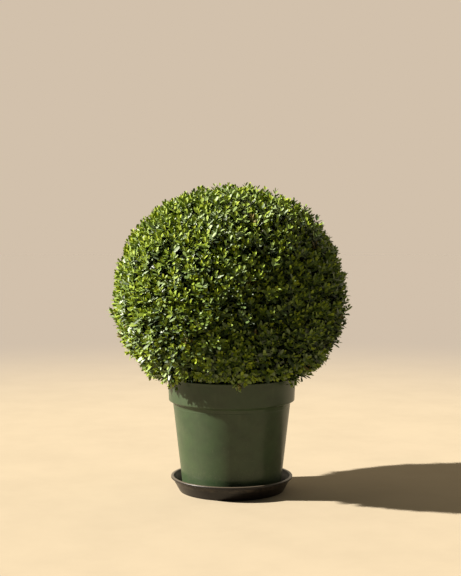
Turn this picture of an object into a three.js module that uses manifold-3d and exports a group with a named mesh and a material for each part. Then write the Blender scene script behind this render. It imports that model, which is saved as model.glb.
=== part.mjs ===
// A clipped box ball in a tapered plastic pot that stands on a drip saucer.
// Millimetres, +Z up. The origin is the middle of the saucer's flat underside.

import * as THREE from "three";
import { mergeVertices } from "three/addons/utils/BufferGeometryUtils.js";
import Module from "manifold-3d";

const wasm = await Module();
wasm.setup();

// ---------------------------------------------------------------- driving dimensions

/** Clearance kept between two pieces that rest on, or stand in, each other. */
const GAP = 0.3;

/** Sides of every turned piece. */
const ROUND_SIDES = 48;

const SAUCER = {
  footRadius: 114.7,
  footRound: 3,
  lipRadius: 132.5,
  lipDepth: 4.6,
  lipWidth: 4.2,
  lipDraft: 0.4,
  height: 33,
  floor: 3.2,
  wall: 2.6,
  innerRound: 3,
};

const POT = {
  top: 250,
  footRadius: 106.5,
  bodyRadius: 127.5,
  bandFootRadius: 136.5,
  rimRadius: 139,
  bandDepth: 51,
  bandDraft: 0.4,
  bandChamfer: 1.5,
  shoulderDepth: 6,
  wall: 2.8,
  floor: 3,
  footRound: 2,
  footRing: 2.5,
  footRingWidth: 9,
  innerRound: 4,
  rimRound: 1.4,
  ringBelowBand: 14,
  ringDepth: 0.7,
  ringHalf: 1,
};

/** The compost is flat round the stem, and heaves in low waves further out. */
const SOIL = { top: 222, flatRadius: 34, easeOut: 30, relief: 2.4, settle: 0.8, waves: [11, 13], rings: 5 };

const TRUNK = {
  top: 292,
  footRadius: 13,
  topRadius: 9.5,
  flare: 7,
  flareHeight: 14,
  buttresses: 5,
  buttressShare: 0.4,
  lean: new THREE.Vector2(9, -4),
  sides: 20,
  rings: 9,
};

/** The clipped outline: rounder than a sphere above its widest level, flatter below it. */
const BALL = {
  middle: new THREE.Vector3(-3, 0, 411),
  radius: 252,
  riseAbove: 252,
  fallBelow: 225,
  shoulderPower: 2.1,
  lowestDirection: -0.74,
};

/** The space under the ball that the pot's rim and the soil take. */
const KEEP_OUT = { mouthRadius: 117, mouthLevel: 236, rimRadius: 143, rimLevel: 253.5, hangLevel: 235 };

const CORE = { reach: 0.875, detail: 5, bump: 3.2, bumpTurns: 5 };

/** Each level of growth ends at its reach of the outline, and starts at the nearest end of the last level. */
const GROWTH = [
  { count: 9, reach: 0.42, scatter: 0.16, radius: 6 },
  { count: 44, reach: 0.74, scatter: 0.1, radius: 3.6 },
  { count: 94, reach: 0.935, scatter: 0.07, radius: 3.4 },
];

const LEAF = {
  length: 42,
  lengthScatter: 0.12,
  width: 24,
  thickness: 3,
  fold: 1.6,
  tipReach: 1.004,
  spreadScatter: THREE.MathUtils.degToRad(7),
  pairPlaces: [0.85, 0.98],
  overReach: 1.015,
};

const LIMB_TAPER = 0.8;

const SEED = 1847;

const COLOURS = {
  saucer: { color: 0x241f1d, roughness: 0.55 },
  pot: { color: 0x2f3d2a, roughness: 0.4 },
  soil: { color: 0x2e231a, roughness: 0.95 },
  trunk: { color: 0x7a6a52, roughness: 0.85 },
  foliage_ball: { color: 0x4d6b22, roughness: 0.5 },
};

// ---------------------------------------------------------------- solids and meshes

/** Turns a closed geometry into a solid that can be joined and cut, its faces pointing out. */
function solid(geometry) {
  geometry.deleteAttribute("normal");
  geometry.deleteAttribute("uv");
  const merged = mergeVertices(geometry, 1e-3);
  const corners = merged.index.array;
  const triangles = [];
  for (let i = 0; i < corners.length; i += 3) {
    const [a, b, c] = corners.subarray(i, i + 3);
    if (a !== b && b !== c && c !== a) triangles.push(a, b, c);
  }
  const points = new Float32Array(merged.attributes.position.array);
  if (signedVolume(points, triangles) < 0) triangles.reverse();
  const mesh = new wasm.Mesh({
    numProp: 3,
    vertProperties: points,
    triVerts: new Uint32Array(triangles),
  });
  return new wasm.Manifold(mesh);
}

/** Volume inside a closed triangle list, negative where its faces point in. */
function signedVolume(points, triangles) {
  const corner = (n) => new THREE.Vector3().fromArray(points, 3 * triangles[n]);
  let volume = 0;
  for (let i = 0; i < triangles.length; i += 3) {
    volume += corner(i).dot(corner(i + 1).cross(corner(i + 2))) / 6;
  }
  return volume;
}

/** Keeps the one main body of a joined solid: scraps are dropped and sealed hollows are filled. */
function mainBody(joined) {
  return joined.decompose().reduce((best, body) => (body.volume() > best.volume() ? body : best));
}

/** Makes the named mesh of one sub-part from its solid. */
function part(name, body) {
  const { vertProperties, triVerts } = body.getMesh();
  const geometry = new THREE.BufferGeometry();
  geometry.setAttribute("position", new THREE.BufferAttribute(vertProperties, 3));
  geometry.setIndex(new THREE.BufferAttribute(triVerts, 1));
  geometry.computeVertexNormals();
  const material = new THREE.MeshStandardMaterial({ metalness: 0, ...COLOURS[name] });
  const mesh = new THREE.Mesh(geometry, material);
  mesh.name = name;
  return mesh;
}

/** Turns a [radius, height] profile around the Z axis. */
function turned(profile, sides = ROUND_SIDES) {
  const points = profile.map(([radius, height]) => new THREE.Vector2(radius, height));
  return new THREE.LatheGeometry(points, sides).rotateX(Math.PI / 2);
}

/** Points of a rounded edge: part of a circle, in [radius, height], from one angle to another. */
function rounding(centreRadius, centreHeight, size, fromDegrees, toDegrees, steps = 2) {
  return Array.from({ length: steps + 1 }, (_, i) => {
    const angle = THREE.MathUtils.degToRad(THREE.MathUtils.lerp(fromDegrees, toDegrees, i / steps));
    return [centreRadius + size * Math.cos(angle), centreHeight + size * Math.sin(angle)];
  });
}

/** Moves every vertex of a geometry by a function of its place. */
function reshape(geometry, move) {
  const places = geometry.attributes.position;
  const point = new THREE.Vector3();
  for (let i = 0; i < places.count; i += 1) {
    move(point.fromBufferAttribute(places, i));
    places.setXYZ(i, point.x, point.y, point.z);
  }
  return geometry;
}

// ---------------------------------------------------------------- saucer, pot and soil

const POT_FOOT = SAUCER.floor + GAP;
const POT_FLOOR = POT_FOOT + POT.footRing + POT.floor;
const BAND_FOOT = POT.top - POT.bandDepth;
const SHOULDER = BAND_FOOT - POT.shoulderDepth;

/** Radius of the pot's outer wall, below its band, at a height. */
function potBodyRadius(height) {
  return THREE.MathUtils.mapLinear(height, POT_FOOT, SHOULDER, POT.footRadius, POT.bodyRadius);
}

/** A shallow dish: a round foot, a flared wall, and a lip that turns out and down. */
function saucerSolid() {
  const { footRadius, footRound, lipRadius, lipDepth, lipWidth, lipDraft } = SAUCER;
  const { height, floor, wall, innerRound } = SAUCER;
  const lipRound = lipWidth / 2;
  const lipMiddle = height - lipRound;
  const wallTop = lipRadius - lipWidth;
  return solid(turned([
    [0, 0],
    ...rounding(footRadius - footRound, footRound, footRound, -90, -20),
    [wallTop, height - lipDepth - wall],
    [lipRadius - lipDraft, height - lipDepth],
    ...rounding(lipRadius - lipRound, lipMiddle, lipRound, 0, 90),
    [wallTop - wall / 2, height - lipRound / 2],
    [wallTop - wall, height - lipDepth],
    [footRadius - wall, floor + innerRound],
    [footRadius - wall - innerRound, floor],
    [0, floor],
  ]));
}

/** Points down the inside of the pot, from its rim to its floor, drawn in by a clearance. */
function potInside(clearance) {
  const { top, rimRadius, rimRound, bandFootRadius, bodyRadius, innerRound, wall } = POT;
  const inset = wall + clearance;
  return [
    [rimRadius - inset, top - rimRound],
    [bandFootRadius - inset, BAND_FOOT + wall],
    [bodyRadius - inset, SHOULDER + wall],
    [potBodyRadius(POT_FLOOR + innerRound) - inset, POT_FLOOR + innerRound],
    [potBodyRadius(POT_FLOOR) - inset - innerRound, POT_FLOOR + clearance],
  ];
}

/** A tapered bucket with a plain band under its rim, one fine moulded ring and a ring foot. */
function potSolid() {
  const { top, footRadius, footRound, footRing, footRingWidth, ringDepth, ringHalf } = POT;
  const { bodyRadius, bandFootRadius, bandChamfer, bandDraft, rimRadius, rimRound } = POT;
  const ringLevel = BAND_FOOT - POT.ringBelowBand;
  return solid(turned([
    [0, POT_FOOT + footRing],
    [footRadius - footRingWidth - footRing, POT_FOOT + footRing],
    [footRadius - footRingWidth, POT_FOOT],
    ...rounding(footRadius - footRound, POT_FOOT + footRound, footRound, -90, 0),
    [potBodyRadius(ringLevel - ringHalf), ringLevel - ringHalf],
    [potBodyRadius(ringLevel) + ringDepth, ringLevel],
    [potBodyRadius(ringLevel + ringHalf), ringLevel + ringHalf],
    [bodyRadius, SHOULDER],
    [bandFootRadius - bandChamfer, BAND_FOOT - bandChamfer],
    [bandFootRadius, BAND_FOOT],
    [rimRadius - bandDraft, top - 2 * rimRound],
    ...rounding(rimRadius - rimRound, top - rimRound, rimRound, 0, 180),
    ...potInside(0).slice(1),
    [0, POT_FLOOR],
  ]));
}

/** Height of the potting compost at a place. */
function soilHeight(x, y) {
  const { top, flatRadius, easeOut, relief, settle, waves } = SOIL;
  const away = THREE.MathUtils.smoothstep(Math.hypot(x, y), flatRadius, flatRadius + easeOut);
  return top + away * (relief * Math.sin(x / waves[0]) * Math.cos(y / waves[1]) - settle);
}

/** Radius of a [radius, height] profile that runs downwards, at a height between two of its points. */
function radiusAt(profile, height) {
  const next = profile.findIndex((point) => point[1] < height);
  const [[topRadius, top], [footRadius, foot]] = [profile[next - 1], profile[next]];
  return THREE.MathUtils.mapLinear(height, foot, top, footRadius, topRadius);
}

/** The compost that fills the pot, clear of its wall and floor. */
function soilSolid() {
  const inside = potInside(GAP + 0.1);
  const edge = radiusAt(inside, SOIL.top);
  const wall = inside.filter(([, height]) => height < SOIL.top).reverse();
  const surface = Array.from({ length: SOIL.rings }, (_, i) => [edge * (1 - i / SOIL.rings), SOIL.top]);
  const profile = [[0, wall[0][1]], ...wall, ...surface, [0, SOIL.top]];
  return solid(reshape(turned(profile), (point) => {
    if (Math.abs(point.z - SOIL.top) < GAP) point.z = soilHeight(point.x, point.y);
  }));
}

// ---------------------------------------------------------------- trunk

const TRUNK_FOOT = SOIL.top + GAP;

/** Middle of the trunk at a height: it leans a little, in a gentle bow. */
function trunkMiddle(height) {
  const share = (height - TRUNK_FOOT) / (TRUNK.top - TRUNK_FOOT);
  return TRUNK.lean.clone().multiplyScalar(share * share);
}

/** Trunk radius at a height, without the buttresses of its root flare. */
function trunkRadius(height) {
  const share = (height - TRUNK_FOOT) / (TRUNK.top - TRUNK_FOOT);
  return THREE.MathUtils.lerp(TRUNK.footRadius, TRUNK.topRadius, share);
}

/** The short stem: tapered, leaning, and flared at its flat foot. The allowance makes it thicker all over. */
function trunkSolid(allowance = 0) {
  const levels = Array.from({ length: TRUNK.rings }, (_, i) => (
    THREE.MathUtils.lerp(TRUNK_FOOT - allowance, TRUNK.top + allowance, i / (TRUNK.rings - 1))));
  const wall = levels.map((height) => [trunkRadius(height) + allowance, height]);
  const profile = [[0, levels[0]], ...wall, [0, levels.at(-1)]];
  return solid(reshape(turned(profile, TRUNK.sides), (point) => {
    const radius = Math.hypot(point.x, point.y);
    const flare = TRUNK.flare * Math.exp((TRUNK_FOOT - point.z) / TRUNK.flareHeight);
    const turn = Math.atan2(point.y, point.x);
    const lobe = 1 + TRUNK.buttressShare * (Math.cos(TRUNK.buttresses * turn) - 1);
    const widen = radius > 0 ? 1 + (flare * lobe) / radius : 1;
    const middle = trunkMiddle(point.z);
    point.set(point.x * widen + middle.x, point.y * widen + middle.y, point.z);
  }));
}

// ---------------------------------------------------------------- the ball's outline and growth

/** Seeded random numbers from 0 to 1. */
function seededRandom(seed) {
  let state = seed >>> 0;
  return () => {
    state = (state + 0x6d2b79f5) >>> 0;
    let mixed = Math.imul(state ^ (state >>> 15), state | 1);
    mixed ^= mixed + Math.imul(mixed ^ (mixed >>> 7), mixed | 61);
    return ((mixed ^ (mixed >>> 14)) >>> 0) / 2 ** 32;
  };
}

/** Distance from the ball's middle to its clipped outline, along a unit direction. */
function outlineDistance(direction) {
  const level = Math.hypot(direction.x, direction.y) / BALL.radius;
  const isAbove = direction.z > 0;
  const rise = Math.abs(direction.z) / (isAbove ? BALL.riseAbove : BALL.fallBelow);
  const power = isAbove ? BALL.shoulderPower : 2;
  return 1 / (level ** power + rise ** power) ** (1 / power);
}

/** Share of the outline that a point reaches: 1 on it, less inside. */
function reachOf(point) {
  const offset = point.clone().sub(BALL.middle);
  const distance = offset.length();
  return distance / outlineDistance(offset.divideScalar(distance));
}

/** Whether a point of the foliage is clear of the pot's rim, of its mouth and of the soil. */
function isClearOfPot(point) {
  const radius = Math.hypot(point.x, point.y);
  if (radius < KEEP_OUT.mouthRadius) return point.z > KEEP_OUT.mouthLevel;
  if (radius < KEEP_OUT.rimRadius) return point.z > KEEP_OUT.rimLevel;
  return point.z > KEEP_OUT.hangLevel;
}

/** Unit directions spread evenly over the ball, by the golden angle, each a little astray. */
function spreadDirections(count, scatter, random) {
  const goldenAngle = Math.PI * (3 - Math.sqrt(5));
  const span = 1 - BALL.lowestDirection;
  return Array.from({ length: count }, (_, i) => {
    const height = 1 - (span * (i + 0.5)) / count;
    const turn = i * goldenAngle;
    const level = Math.sqrt(1 - height * height);
    const direction = new THREE.Vector3(level * Math.cos(turn), level * Math.sin(turn), height);
    const stray = new THREE.Vector3(random() - 0.5, random() - 0.5, random() - 0.5);
    return direction.addScaledVector(stray, 2 * scatter).normalize();
  });
}

/**
 * Grows the limbs of the ball, level by level, from the trunk's top.
 * Each limb starts at the end of the last level's limb that points most nearly its way.
 */
function growLimbs(random) {
  const trunkTop = trunkMiddle(TRUNK.top);
  const fork = new THREE.Vector3(trunkTop.x, trunkTop.y, TRUNK.top + GAP);
  let lastEnds = [{ point: fork, direction: new THREE.Vector3(0, 0, 1) }];
  return GROWTH.map(({ count, reach, scatter, radius }) => {
    const ends = spreadDirections(count, scatter, random).map((direction) => {
      const distance = outlineDistance(direction) * reach;
      return { direction, point: BALL.middle.clone().addScaledVector(direction, distance) };
    });
    const limbs = ends.map((end) => {
      const origin = lastEnds.reduce((best, other) => (
        other.direction.dot(end.direction) > best.direction.dot(end.direction) ? other : best));
      return { from: origin.point, to: end.point, radius };
    });
    lastEnds = ends;
    return limbs;
  });
}

// ---------------------------------------------------------------- the ball's solids

/** A three-sided tapering limb. */
function limbSolid({ from, to, radius }) {
  const along = to.clone().sub(from);
  const geometry = new THREE.CylinderGeometry(radius * LIMB_TAPER, radius, along.length(), 3);
  const turn = new THREE.Quaternion().setFromUnitVectors(new THREE.Vector3(0, 1, 0), along.normalize());
  geometry.applyQuaternion(turn);
  const middle = from.clone().lerp(to, 0.5);
  return solid(geometry.translate(middle.x, middle.y, middle.z));
}

/** Geometry of one folded leaf of eight faces, its root at a place and its blade along a direction. */
function leafGeometry(root, along, across, length) {
  const half = length / 2;
  const up = along.clone().cross(across);
  const basis = new THREE.Matrix4().makeBasis(along, across, up).setPosition(root);
  const blade = new THREE.OctahedronGeometry(1).scale(half, LEAF.width / 2, LEAF.thickness / 2);
  reshape(blade, (point) => {
    if (Math.abs(point.y) > 1) point.z += LEAF.fold;
    point.x += half;
  });
  return blade.applyMatrix4(basis);
}

/** Whether every corner of a leaf, and the middle of its edges, keeps to the ball's own space. */
function leafFits(geometry) {
  const places = geometry.attributes.position;
  const corners = Array.from({ length: places.count }, (_, i) => (
    new THREE.Vector3().fromBufferAttribute(places, i)));
  return corners.every((corner, i) => {
    const middle = corner.clone().lerp(corners[(i + 1) % corners.length], 0.5);
    return isClearOfPot(corner) && isClearOfPot(middle) && reachOf(corner) < LEAF.overReach;
  });
}

/**
 * Opposite pairs of leaves along one twig, each pair a quarter turn from the last.
 * Their roots are on the twig's middle line, and their tips on the outline.
 */
function twigLeaves({ from, to }, random) {
  const side = new THREE.Vector3(random() - 0.5, random() - 0.5, random() - 0.5);
  const leaves = LEAF.pairPlaces.flatMap((place, pair) => [0, Math.PI].map((halfTurn) => {
    const root = from.clone().lerp(to, place);
    const outward = root.clone().sub(BALL.middle).normalize();
    const length = LEAF.length * (1 + (random() - 0.5) * 2 * LEAF.lengthScatter);
    const rise = outlineDistance(outward) * LEAF.tipReach - root.distanceTo(BALL.middle);
    const spread = Math.acos(Math.min(1, rise / length)) + random() * LEAF.spreadScatter;
    const sideways = side.clone().cross(outward).normalize();
    sideways.applyAxisAngle(outward, (pair * Math.PI) / 2 + halfTurn);
    const across = outward.clone().cross(sideways);
    const along = outward.multiplyScalar(Math.cos(spread)).addScaledVector(sideways, Math.sin(spread));
    return leafGeometry(root, along, across, length);
  }));
  return leaves.filter(leafFits).map(solid);
}

/** The dense inside of the clipped ball, slightly lumpy, that twigs and leaves stand out of. */
function coreSolid() {
  const geometry = new THREE.IcosahedronGeometry(1, CORE.detail);
  reshape(geometry, (point) => {
    const direction = point.clone().normalize();
    const { x, y, z } = point.multiplyScalar(CORE.bumpTurns);
    const bump = CORE.bump * Math.sin(x) * Math.cos(y) * Math.sin(z);
    const distance = outlineDistance(direction) * CORE.reach + bump;
    point.copy(BALL.middle).addScaledVector(direction, distance);
  });
  return solid(geometry);
}

/** What the ball's underside is cut by: the pot's mouth with its compost, and the rim round it. */
function keepOutSolid() {
  const below = BALL.middle.z - BALL.radius;
  return solid(turned([
    [0, below],
    [KEEP_OUT.rimRadius, below],
    [KEEP_OUT.rimRadius, KEEP_OUT.rimLevel],
    [KEEP_OUT.mouthRadius, KEEP_OUT.rimLevel],
    [KEEP_OUT.mouthRadius, KEEP_OUT.mouthLevel],
    [0, KEEP_OUT.mouthLevel],
  ]));
}

/**
 * The ball as one mass. Its boughs and branches run inside the core,
 * and the twigs of the last level stand out of it with their leaves.
 */
function foliageSolid() {
  const random = seededRandom(SEED);
  const limbs = growLimbs(random).map((level) => level.filter(({ to }) => isClearOfPot(to)));
  const leaves = limbs.at(-1).flatMap((twig) => twigLeaves(twig, random));
  const core = coreSolid().subtract(keepOutSolid());
  const joined = [...limbs.flat().map(limbSolid), ...leaves].reduce((body, piece) => body.add(piece), core);
  return mainBody(joined.subtract(trunkSolid(GAP)));
}

// ---------------------------------------------------------------- assembly

const topiary = new THREE.Group();
topiary.add(
  part("saucer", saucerSolid()),
  part("pot", potSolid()),
  part("soil", soilSolid()),
  part("trunk", trunkSolid()),
  part("foliage_ball", foliageSolid()),
);

export default topiary;
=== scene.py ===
"""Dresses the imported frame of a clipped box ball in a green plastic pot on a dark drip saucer.

The frame gives every place and size. The ball is grown again by the rule of the part's source, from the
trunk's fork out to boughs, branches and twigs, and from there on to the sprigs, leafy shoots and leaves of a
real shrub. Lengths are metres, +Z is up, and the origin is the middle of the saucer's flat underside.
"""

import logging
import math
from dataclasses import dataclass, field
from enum import Enum

import bpy
import numpy as np
from mathutils import Matrix, Vector


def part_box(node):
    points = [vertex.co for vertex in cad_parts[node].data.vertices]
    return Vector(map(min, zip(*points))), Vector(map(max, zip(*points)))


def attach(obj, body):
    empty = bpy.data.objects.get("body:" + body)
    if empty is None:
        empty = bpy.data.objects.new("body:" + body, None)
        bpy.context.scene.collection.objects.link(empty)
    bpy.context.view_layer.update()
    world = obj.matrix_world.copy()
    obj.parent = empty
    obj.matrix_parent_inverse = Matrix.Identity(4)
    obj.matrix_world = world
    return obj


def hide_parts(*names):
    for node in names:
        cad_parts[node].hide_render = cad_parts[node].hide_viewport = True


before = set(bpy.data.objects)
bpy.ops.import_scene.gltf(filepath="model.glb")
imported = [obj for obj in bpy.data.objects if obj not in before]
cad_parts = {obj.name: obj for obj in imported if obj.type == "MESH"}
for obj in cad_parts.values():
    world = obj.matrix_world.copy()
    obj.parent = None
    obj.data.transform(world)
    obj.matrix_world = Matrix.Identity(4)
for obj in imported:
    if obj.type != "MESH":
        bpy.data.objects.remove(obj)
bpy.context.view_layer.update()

Array = np.ndarray
Material = bpy.types.Material
Node = bpy.types.Node
Piece = bpy.types.Object
Socket = bpy.types.NodeSocket
Random = np.random.Generator
Pair = tuple[float, float]
Triple = tuple[float, float, float]

LOG = logging.getLogger("topiary")
MM = 0.001
BODY = "root"
UP = np.array([0.0, 0.0, 1.0])
ASKEW = np.array([0.13, 0.07, 1.0])
BOW_LIFT = np.array([0, 0, 0.05])
UNROLL_MARGIN = 0.01
UNROLL_SPAN = 0.98
TRIANGLE_LIMIT = 200_000


# ---------- arrays and meshes


def unit(vectors: Array) -> Array:
    """Return the vectors, one a row, at length 1."""
    return vectors / np.maximum(np.linalg.norm(vectors, axis=-1, keepdims=True), 1e-12)


def blend(low: float | Array, high: float | Array, share: float | Array) -> float | Array:
    """Return the value that lies a share of the way from low to high."""
    return low + (high - low) * share


def opaque(colour: Triple, share: float = 1.0) -> tuple[float, ...]:
    """Return a share of a colour, with full alpha."""
    return (*(share * part for part in colour), 1)


@dataclass
class Surface:
    """A mesh in the making.

    Attributes:
        points: corner places, one a row.
        faces: corner numbers of each face, with the same count of corners in every row.
        uv: place of each face corner on the unit square, where the surface is unrolled.
    """

    points: Array
    faces: Array
    uv: Array | None = None

    def triangle_count(self) -> int:
        """Return how many triangles the faces make."""
        return len(self.faces) * (self.faces.shape[1] - 2)

    def mesh(self, name: str, material: Material) -> bpy.types.Mesh:
        """Make it a mesh in a material.

        Args:
            name: the mesh's name.
            material: its material.

        Returns:
            The mesh, with no stray faces.
        """
        mesh = bpy.data.meshes.new(name)
        mesh.from_pydata(self.points.tolist(), [], self.faces.tolist())
        mesh.validate()
        mesh.materials.append(material)
        return mesh

    @staticmethod
    def joined(surfaces: list["Surface"]) -> "Surface":
        """Join surfaces whose faces have the same count of corners.

        Args:
            surfaces: the surfaces, in order.

        Returns:
            One surface that holds them all.
        """
        starts = np.cumsum([0] + [len(surface.points) for surface in surfaces[:-1]])
        faces = [surface.faces + start for surface, start in zip(surfaces, starts)]
        return Surface(np.concatenate([surface.points for surface in surfaces]), np.concatenate(faces))

    @staticmethod
    def repeated(points: Array, faces: Array) -> "Surface":
        """Join many surfaces with the same faces.

        Args:
            points: their points, as surface, point and place.
            faces: the faces of one of them.

        Returns:
            One surface that holds them all.
        """
        starts = np.arange(len(points)) * points.shape[1]
        faces = (faces[None] + starts[:, None, None]).reshape(-1, faces.shape[1])
        return Surface(points.reshape(-1, 3), faces)


def show(name: str, data: bpy.types.ID) -> Piece:
    """Show a mesh, a light or a camera as a new object of the scene.

    Args:
        name: the object's name.
        data: what it shows.

    Returns:
        The object.
    """
    thing = bpy.data.objects.new(name, data)
    bpy.context.scene.collection.objects.link(thing)
    return thing


def make_piece(name: str, surface: Surface, material: Material,
               stands_for: tuple[str, ...] = (), crease: float | None = None) -> Piece:
    """Turn a surface into a piece of the object that rides on the plant's one body.

    Args:
        name: the piece's name.
        surface: its mesh.
        material: its material.
        stands_for: the frame's nodes that it replaces.
        crease: the angle in degrees above which an edge stays sharp, or None where every edge is smooth.

    Returns:
        The new object.
    """
    piece = show(name, surface.mesh(name, material))
    if surface.uv is not None:
        layer = piece.data.uv_layers.new(name="OFBake")
        layer.uv.foreach_set("vector", surface.uv.astype(np.float32).ravel())
    piece.data.shade_smooth()
    if crease is not None:
        piece.data.set_sharp_from_angle(angle=math.radians(crease))
    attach(piece, BODY)
    if stands_for:
        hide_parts(*stands_for)
    triangles = surface.triangle_count()
    LOG.info("%s: %d triangles", name, triangles)
    if triangles >= TRIANGLE_LIMIT:
        raise ValueError(f"{name} has {triangles} triangles, over the limit of a piece")
    return piece


def arc(centre: Pair, size: float, start: float, end: float, steps: int = 6) -> list[Pair]:
    """Return points of a rounded edge in radius and height.

    Args:
        centre: middle of the rounding.
        size: its radius.
        start: first angle in degrees, from the outward direction.
        end: last angle.
        steps: how many spans it has.

    Returns:
        The points, both ends included.
    """
    turns = np.radians(np.linspace(start, end, steps + 1))
    return [(centre[0] + size * math.cos(turn), centre[1] + size * math.sin(turn)) for turn in turns]


def refine(profile: list[Pair], longest: float) -> Array:
    """Add points to a profile so that no span is longer than a length.

    Args:
        profile: its points, in order.
        longest: the length.

    Returns:
        The points, one a row.
    """
    points = [np.array(profile[0])]
    for start, end in zip(profile[:-1], profile[1:]):
        start, end = np.array(start), np.array(end)
        spans = max(1, math.ceil(np.linalg.norm(end - start) / longest))
        points += [blend(start, end, step / spans) for step in range(1, spans + 1)]
    return np.array(points)


def tube_faces(rings: int, sides: int) -> tuple[Array, Array, Array]:
    """Span rings of points with quads.

    Args:
        rings: how many rings there are.
        sides: how many points each has.

    Returns:
        The quads, and the ring and the side that each one starts at.
    """
    ring, side = np.meshgrid(np.arange(rings - 1), np.arange(sides), indexing="ij")
    after = (side + 1) % sides
    faces = np.stack([ring * sides + side, ring * sides + after,
                      (ring + 1) * sides + after, (ring + 1) * sides + side], axis=-1)
    return faces.reshape(-1, 4), ring, side


def turned(profile: Array, sides: int) -> Surface:
    """Turn a profile of radius and height around the upright axis.

    Args:
        profile: points from one end on the axis to the other, outer side first going up.
        sides: how many flat sides the round has.

    Returns:
        A closed surface of quads, unrolled on its map across by turn and up by length along the profile.
    """
    turns = np.linspace(0, 2 * math.pi, sides, endpoint=False)
    around = np.stack([np.cos(turns), np.sin(turns)], axis=1)
    points = np.zeros((len(profile), sides, 3))
    points[:, :, :2] = profile[:, None, :1] * around[None]
    points[:, :, 2] = profile[:, None, 1]
    faces, ring, side = tube_faces(len(profile), sides)
    along = np.concatenate([[0], np.cumsum(np.linalg.norm(np.diff(profile, axis=0), axis=1))])
    along = UNROLL_MARGIN + UNROLL_SPAN * along / along[-1]
    low, high = along[ring], along[ring + 1]
    left, right = (UNROLL_MARGIN + UNROLL_SPAN * edge / sides for edge in (side, side + 1))
    corners = (left, low), (right, low), (right, high), (left, high)
    uv = np.stack([np.stack(corner, axis=-1) for corner in corners], axis=2)
    return Surface(points.reshape(-1, 3), faces, uv.reshape(-1, 2))


# ---------- growth rule


class SeededRandom:
    """The seeded random numbers of the part's source, from 0 to 1."""

    MASK = 0xFFFFFFFF
    STEP = 0x6D2B79F5

    def __init__(self, seed: int) -> None:
        """Start the row of numbers at a seed."""
        self.state = seed & self.MASK

    def draw(self) -> float:
        """Draw the next number.

        Returns:
            The number, from 0 to 1.
        """
        self.state = (self.state + self.STEP) & self.MASK
        mixed = ((self.state ^ (self.state >> 15)) * (self.state | 1)) & self.MASK
        mixed ^= (mixed + (((mixed ^ (mixed >> 7)) * (mixed | 61)) & self.MASK)) & self.MASK
        return (mixed ^ (mixed >> 14)) / 2**32

    def offset(self) -> Array:
        """Return a random offset, each part from -0.5 to 0.5."""
        return np.array([self.draw() - 0.5, self.draw() - 0.5, self.draw() - 0.5])


@dataclass(frozen=True)
class GrowthLevel:
    """One level of the crown's growth.

    Attributes:
        count: how many limbs it has.
        reach: share of the outline at which they end.
        scatter: how far their directions stray from an even spread.
        foot_radius: radius where a limb leaves its parent.
        tip_radius: radius at its end.
        fork_share: from and to which share of the parent's length limbs leave it.
        lowest_direction: height of the lowest direction in which limbs are sent.
    """

    count: int
    reach: float
    scatter: float
    foot_radius: float
    tip_radius: float
    fork_share: Pair = (1.0, 1.0)
    lowest_direction: float = -0.74


@dataclass(frozen=True)
class Outline:
    """The clipped outline of the ball: rounder than a sphere above its widest level, flatter below it.

    Attributes:
        middle: where the ball's middle is.
        radius: its widest radius.
        rise_above: how far it rises above the middle.
        fall_below: how far it falls below it.
        shoulder_power: how square its shoulders are.
        skirt_power: how square it is below.
        fuller_side: the direction in which the shears left it a little fuller.
        fullness: by which share.
    """

    middle: Triple = (-3 * MM, 0.0, 411 * MM)
    radius: float = 252 * MM
    rise_above: float = 249 * MM
    fall_below: float = 225 * MM
    shoulder_power: float = 2.18
    skirt_power: float = 1.94
    fuller_side: Triple = (-0.97, 0.0, 0.24)
    fullness: float = 0.008

    def centre(self) -> Array:
        """Return the ball's middle."""
        return np.array(self.middle)

    def distance(self, directions: Array) -> Array:
        """Return how far the outline lies from the middle.

        Args:
            directions: unit directions, one a row.

        Returns:
            The distance along each of them.
        """
        above = directions[:, 2] > 0
        level = np.linalg.norm(directions[:, :2], axis=1) / self.radius
        rise = np.abs(directions[:, 2]) / np.where(above, self.rise_above, self.fall_below)
        power = np.where(above, self.shoulder_power, self.skirt_power)
        fuller = 1 + self.fullness * (directions @ np.array(self.fuller_side))
        return fuller / (level**power + rise**power) ** (1 / power)

    def point(self, directions: Array, reach: float, inset: float | Array = 0.0) -> Array:
        """Return points at a share of the outline, drawn in by an inset."""
        away = self.distance(directions) * reach - inset
        return self.centre() + directions * away[:, None]

    def spread_directions(self, level: GrowthLevel, random: SeededRandom) -> Array:
        """Spread a level's directions evenly over the ball by the golden angle, each a little astray.

        Args:
            level: the level of growth.
            random: the source of the straying.

        Returns:
            Unit directions, one a row.
        """
        golden_angle = math.pi * (3 - math.sqrt(5))
        steps = np.arange(level.count)
        height = 1 - (1 - level.lowest_direction) * (steps + 0.5) / level.count
        away = np.sqrt(1 - height**2)
        turns = steps * golden_angle
        even = np.stack([away * np.cos(turns), away * np.sin(turns), height], axis=1)
        stray = np.array([random.offset() for _ in range(level.count)])
        return unit(even + 2 * level.scatter * stray)


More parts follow.
